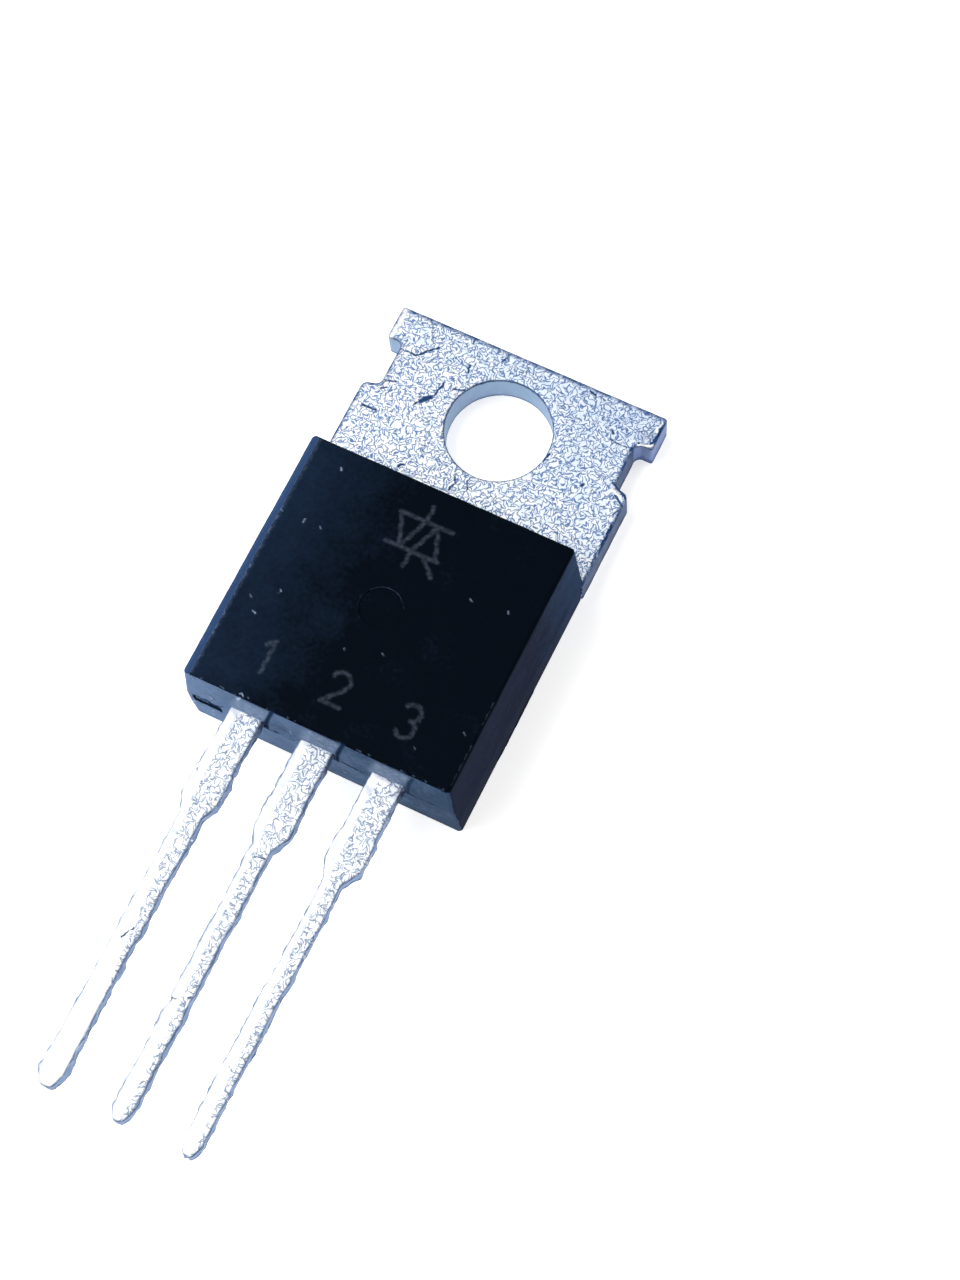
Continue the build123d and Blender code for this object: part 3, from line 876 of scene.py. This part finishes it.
def arc(x, y, radius, start, end):
    """Points along an arc, between two angles in degrees."""
    angles = np.radians(np.linspace(start, end, 9))
    return [(x + radius * math.cos(a), y + radius * math.sin(a)) for a in angles]


def marking(x, y, size, strokes):
    """Laser strokes, drawn about a middle and scaled."""
    return [
        on_front(laser_width, 0.008, laser_stain, *[(x + size * u, y + size * v) for u, v in stroke])
        for stroke in strokes
    ]


marks += marking(0.0, symbol_row, symbol_size, [
    [(-0.75, 0.45), (0.75, 0.45)],
    [(-0.75, -0.45), (0.75, -0.45)],
    [(-0.70, 0.45), (-0.35, -0.45), (0.0, 0.45)],
    [(0.0, -0.45), (0.35, 0.45), (0.70, -0.45)],
    [(0.0, 0.45), (0.0, 0.90)],
    [(0.0, -0.45), (0.0, -0.90)],
    [(0.35, -0.45), (0.80, -0.90)],
])
digits = (
    [(-0.18, 0.30), (0.04, 0.50), (0.04, -0.50)],
    arc(0, 0.22, 0.28, 165, -35) + [(-0.28, -0.50), (0.30, -0.50)],
    arc(0, 0.25, 0.25, 150, -80) + arc(0, -0.25, 0.27, 80, -150),
)
for place, digit in zip((-lead_pitch, 0.0, lead_pitch), digits):
    marks += marking(place, digit_row, digit_size, [digit])
score(epoxy_body, marks, body_step)


def moulded_epoxy(name, pale, dark, lit_place, shaded_place, roughness, specular):
    """Black epoxy filled with silica, as it comes out of the mould. It is painted with light: paler
    at the lit place and darker at the shaded place, as the lamp's light falls off across the face."""
    scraped_and_highlight = linear("b8ccec")
    shadow = linear("142848")
    material, place, shader = start_material(name, 0, roughness, specular)
    clouds = add_node(material, "TexNoise", {
        "Vector": place, "Scale": per_metre(1.2), "Detail": 4.0,
    })
    # painted light: the colour runs from the paler one at the lit place to the darker one at the shaded
    # place
    way = Vector(shaded_place) - Vector(lit_place)
    across = add_node(material, "VectorMath", {0: place, 1: way / MM}, operation="DOT_PRODUCT")
    across = add_node(material, "MapRange", {
        "Value": across.outputs["Value"],
        "From Min": way.dot(lit_place), "From Max": way.dot(shaded_place),
        "To Min": -0.4, "To Max": 0.6,
    })
    across = add_node(material, "Math", {0: across.outputs[0], 1: clouds.outputs["Fac"]})

    # the silica's grain, drawn coarser than it is so that it shows
    grain = add_node(material, "TexNoise", {
        "Vector": place, "Scale": per_metre(0.15), "Detail": 3.0,
    })
    speckle = add_node(material, "Math", {
        0: grain.outputs["Fac"], 1: 0.5,
    }, operation="SUBTRACT")
    across = add_node(material, "Math", {
        0: speckle.outputs[0], 1: 0.6, 2: across.outputs[0],
    }, operation="MULTIPLY_ADD", use_clamp=True)
    shade = add_node(material, "Mix", {
        0: across.outputs[0], 6: linear(pale), 7: linear(dark),
    }, data_type="RGBA")

    # marks: pale and patchy where resin is scraped or lasered and as painted highlight and
    # reflection; dark and dull in cracks and as painted shade in the gaps
    stain_and_light = add_node(material, "Attribute", {}, attribute_name="stain_and_light")
    patchy = add_node(material, "MapRange", {
        "Value": grain.outputs["Fac"],
        "From Min": 0.38, "From Max": 0.62, "To Min": 0.5, "To Max": 1.3,
    })
    paled = add_node(material, "Math", {
        0: stain_and_light.outputs["Fac"], 1: patchy.outputs[0],
    }, operation="MULTIPLY", use_clamp=True)
    shade = add_node(material, "Mix", {
        0: paled.outputs[0], 6: shade.outputs[2], 7: scraped_and_highlight,
    }, data_type="RGBA")
    gap = add_node(material, "Math", {
        0: stain_and_light.outputs["Fac"], 1: -1.0,
    }, operation="MULTIPLY", use_clamp=True)
    shade = add_node(material, "Mix", {
        0: gap.outputs[0], 6: shade.outputs[2], 7: shadow,
    }, data_type="RGBA")
    rough = add_node(material, "MapRange", {
        "Value": gap.outputs[0], "To Min": roughness, "To Max": 1.0,
    })
    material.node_tree.links.new(rough.outputs[0], shader.inputs["Roughness"])
    bump = add_node(material, "Bump", {
        "Strength": 0.3, "Distance": 0.01 * MM, "Height": grain.outputs["Fac"],
    })
    join(material, shader, shade.outputs[2], bump.outputs[0])
    return material


def body_finish(centres, normals):
    """Which of the finishes each face of the body has, as its place in the list: lit and shaded copies
    of one epoxy, picked by the way a face points, as painted light.
    """
    x, y, z = normals.T
    in_front = z > 0.35
    return np.select([in_front & (x < -0.25), in_front, y < -0.6, x > 0.6], [3, 0, 2, 1], 0)


# lit and shaded copies of one black epoxy, as painted light: the front darkest, the right side paler,
# the worn left strip paler still, the lower end palest
epoxy_front = moulded_epoxy(
    "epoxy_front", "152439", "020913", (-5, 0, 0), (0, 0, 0), roughness=0.5, specular=0.02)
epoxy_side_lit_copy = moulded_epoxy(
    "epoxy_side_lit_copy", "2a4468", "0f1c36", (0, -3.5, 0), (0, -7.5, 0), roughness=0.65, specular=0.02)
epoxy_end_lit_copy = moulded_epoxy(
    "epoxy_end_lit_copy", "7894bb", "39516f", (-5, 0, 0), (5, 0, 0), roughness=0.6, specular=0.02)
epoxy_rubbed_edge_lit_copy = moulded_epoxy(
    "epoxy_rubbed_edge_lit_copy", "365480", "2a4268", (-4.9, 0, 0), (-4.6, 0, 0), roughness=0.5,
    specular=0.06)
finish_piece(
    epoxy_body, "moulded_body",
    (epoxy_front, epoxy_side_lit_copy, epoxy_end_lit_copy, epoxy_rubbed_edge_lit_copy), body_finish)

# ---------------------------------------------------------------------------------------------
# Inside the plastic: the silicon chip, the solder that holds it on the pad, and aluminium bond
# wires from the chip to the outer leads. Their shapes are the CAD nodes'.


def clouded(name, metallic, roughness, pale, dark, size):
    """A material with soft clouds between two close shades."""
    material, place, shader = start_material(name, metallic, roughness)
    clouds = add_node(material, "TexNoise", {
        "Vector": place, "Scale": per_metre(size), "Detail": 3.0,
    })
    shade = add_node(material, "Mix", {
        0: clouds.outputs["Fac"], 6: linear(pale), 7: linear(dark),
    }, data_type="RGBA")
    material.node_tree.links.new(shade.outputs[2], shader.inputs["Base Color"])
    return material


# dull grey solder, dark glossy silicon, and wire as bright as it left the die
inner_materials = {
    "die_solder": clouded("lead_tin_solder", 1, 0.45, "b4b8bc", "84888c", 0.3),
    "triac_chip": clouded("passivated_silicon", 0, 0.3, "484c5c", "343848", 0.5),
    "gate_bond_wire": clouded("drawn_aluminium", 1, 0.35, "d4d8dc", "b4b8bc", 0.2),
}
inner_materials["t1_bond_wire"] = inner_materials["gate_bond_wire"]
for node_name, material in inner_materials.items():
    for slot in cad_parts[node_name].material_slots:
        slot.material = material

# ---------------------------------------------------------------------------------------------
# Floor, light and camera: the part lies on its back on white paper, under one large soft lamp
# on its left and a weaker one on its right. Lengths in this section are in metres.

low, high = cad_box
centre = (low + high) / 2
floor_gap = 0.02 * MM
bpy.ops.object.select_all(action="DESELECT")
bpy.ops.mesh.primitive_circle_add(
    vertices=128, radius=0.8, fill_type="NGON", location=(centre.x, centre.y, low.z - floor_gap))
floor = bpy.context.object
floor.name = "floor"
paper = bpy.data.materials.new("white_paper")
paper.use_nodes = True
paper.node_tree.nodes.clear()
light_path = add_node(paper, "LightPath", {})
seen = add_node(paper, "Math", {
    0: light_path.outputs["Is Camera Ray"], 1: light_path.outputs["Is Glossy Ray"],
})
seen = add_node(paper, "Math", {0: seen.outputs[0], 1: light_path.outputs["Is Transmission Ray"]})
glow = add_node(paper, "Math", {0: seen.outputs[0], 1: 0.6}, operation="MULTIPLY")
lift = add_node(paper, "Emission", {"Strength": glow.outputs[0]})
matt = add_node(paper, "BsdfDiffuse", {"Color": linear("f0f0f0")})
both = add_node(paper, "AddShader", {0: matt.outputs[0], 1: lift.outputs[0]})
add_node(paper, "OutputMaterial", {"Surface": both.outputs[0]})
floor.data.materials.append(paper)

world = bpy.data.worlds.new("studio")
bpy.context.scene.world = world
world.use_nodes = True
world.node_tree.nodes.clear()
way = add_node(world, "TexCoord", {})
up = add_node(world, "SeparateXYZ", {0: way.outputs["Generated"]})
level = add_node(world, "MapRange", {
    "Value": up.outputs["Z"], "From Min": 0.0, "From Max": 1.0, "To Min": 0.5, "To Max": 0.4,
})
sky = add_node(world, "Background", {"Strength": level.outputs[0]})
add_node(world, "OutputWorld", {"Surface": sky.outputs[0]})


def add_lamp(name, place, size, power):
    """A square soft lamp that faces the middle of the part, at a place given from there."""
    data = bpy.data.lights.new(name, "AREA")
    data.size = size
    data.energy = power
    lamp = bpy.data.objects.new(name, data)
    bpy.context.scene.collection.objects.link(lamp)
    lamp.location = centre + Vector(place)
    lamp.rotation_mode = "QUATERNION"
    lamp.rotation_quaternion = (centre - lamp.location).to_track_quat("-Z", "Y")


add_lamp("key_lamp", (-0.16, -0.04, 0.24), 0.25, 0.86)
add_lamp("fill_lamp", (0.2, 0.2, 0.3), 0.25, 0.3)

azimuth = math.radians(33.56)
elevation = math.radians(69.88)
roll = math.radians(-7.71)
aim = centre + Vector((2.944, 4.542, 0)) * MM
distance = 98.64 * MM
camera_data = bpy.data.cameras.new("camera")
camera_data.lens = 85.03
camera_data.sensor_width = 36
camera_data.clip_start = 0.005
camera = bpy.data.objects.new("camera", camera_data)
bpy.context.scene.collection.objects.link(camera)
turn = Matrix.Rotation(azimuth, 3, "Z") @ Matrix.Rotation(math.pi / 2 - elevation, 3, "X")
turn = turn @ Matrix.Rotation(roll, 3, "Z")
back = turn @ Vector((0, 0, 1))
camera.matrix_world = Matrix.Translation(aim + back * distance) @ turn.to_4x4()
bpy.context.scene.camera = camera
bpy.context.scene.view_settings.view_transform = "Standard"
